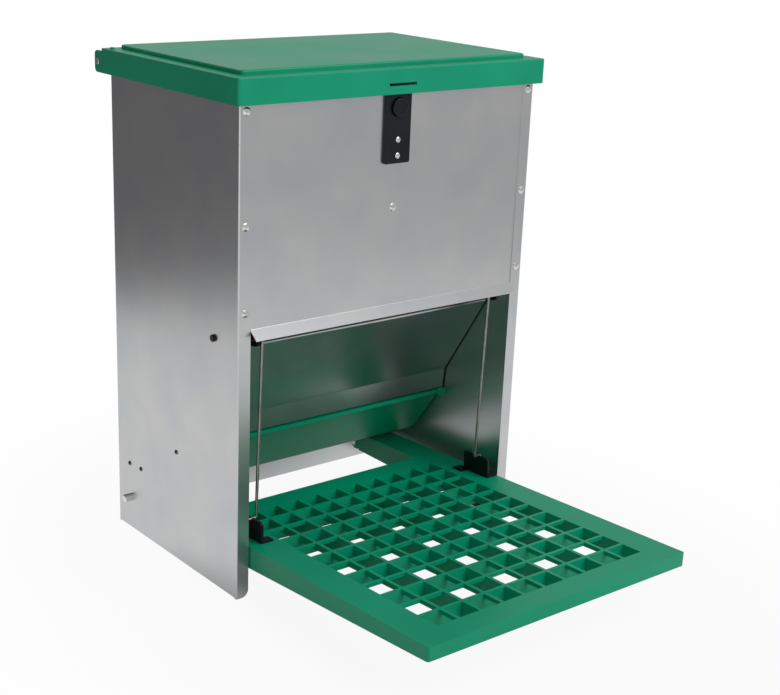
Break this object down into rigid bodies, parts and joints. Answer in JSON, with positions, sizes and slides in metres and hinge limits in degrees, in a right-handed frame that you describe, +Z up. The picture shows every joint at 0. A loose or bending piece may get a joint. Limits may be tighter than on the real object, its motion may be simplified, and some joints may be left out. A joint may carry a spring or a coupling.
{
  "type": "treadle hopper feeder",
  "caption": "Hopper feeder for poultry: sheet metal cabinet with a hinged moulded lid, and a grid treadle linked by rods to a flap in front of the feed trough.",
  "frame": {"origin": "centre of the whole object in X and Y, on the floor it stands on", "axes": "+X to the right seen from the front, -Y out of the front over the treadle, +Z up"},
  "size_m": [0.4162, 0.5754, 0.5697],
  "materials": {
    "galvanised": "galvanised sheet",
    "green_plastic": "moulded, satin gloss",
    "black_plastic": "moulded, matt",
    "zinc_steel": "zinc plated",
    "spacer_plastic": "moulded, matt"
  },
  "bodies": {
    "cabinet": {"side_panel_left": "galvanised", "side_panel_right": "galvanised", "front_panel": "galvanised", "back_panel": "galvanised", "feed_chute": "galvanised", "front_rivets": "zinc_steel", "rear_rivets": "zinc_steel", "feed_trough": "green_plastic", "trough_screws": "zinc_steel", "latch_housing": "black_plastic", "latch_screws": "zinc_steel", "hinge_pins": "zinc_steel", "pivot_bolts": "zinc_steel", "pivot_spacers": "spacer_plastic", "pivot_nuts": "zinc_steel"},
    "lid": {"lid": "green_plastic"},
    "latch_button": {"latch_button": "black_plastic"},
    "flap": {"flap": "galvanised", "flap_arm_left": "black_plastic", "flap_arm_right": "black_plastic", "flap_rivets": "zinc_steel"},
    "treadle": {"treadle": "green_plastic", "rod_bracket_left": "black_plastic", "rod_bracket_right": "black_plastic"},
    "rod_left": {"link_rod_left": "zinc_steel"},
    "rod_right": {"link_rod_right": "zinc_steel"}
  },
  "joints": [
    {"name": "treadle_hinge", "type": "hinge", "parent": "cabinet", "child": "treadle", "pos_m": [0, 0.2407, 0.0382], "axis": [1, 0, 0], "range_deg": [0, 4.8], "stiffness_Nm_per_rad": 12, "springref_deg": -25.78},
    {"name": "flap_hinge", "type": "hinge", "parent": "cabinet", "child": "flap", "pos_m": [0, 0.0557, 0.2875], "axis": [1, 0, 0], "range_deg": [0, 30]},
    {"name": "rod_left_pivot", "type": "hinge", "parent": "treadle", "child": "rod_left", "pos_m": [-0.165, 0.0287, 0.0815], "axis": [1, 0, 0], "range_deg": [-6.6, 0]},
    {"name": "rod_right_pivot", "type": "hinge", "parent": "treadle", "child": "rod_right", "pos_m": [0.165, 0.0287, 0.0815], "axis": [1, 0, 0], "range_deg": [-6.6, 0]},
    {"name": "lid_hinge", "type": "hinge", "parent": "cabinet", "child": "lid", "pos_m": [0, 0.2817, 0.5495], "axis": [-1, 0, 0], "range_deg": [0, 105]},
    {"name": "latch_push", "type": "slide", "parent": "cabinet", "child": "latch_button", "axis": [0, 1, 0], "range_m": [0, 0.0025], "stiffness_N_per_m": 600, "springref_m": -0.004}
  ],
  "couplings": [
    {"joint": "flap_hinge", "follows": "treadle_hinge", "ratio": 6.2209},
    {"joint": "rod_left_pivot", "follows": "treadle_hinge", "ratio": -1.3228},
    {"joint": "rod_right_pivot", "follows": "treadle_hinge", "ratio": -1.3228}
  ]
}
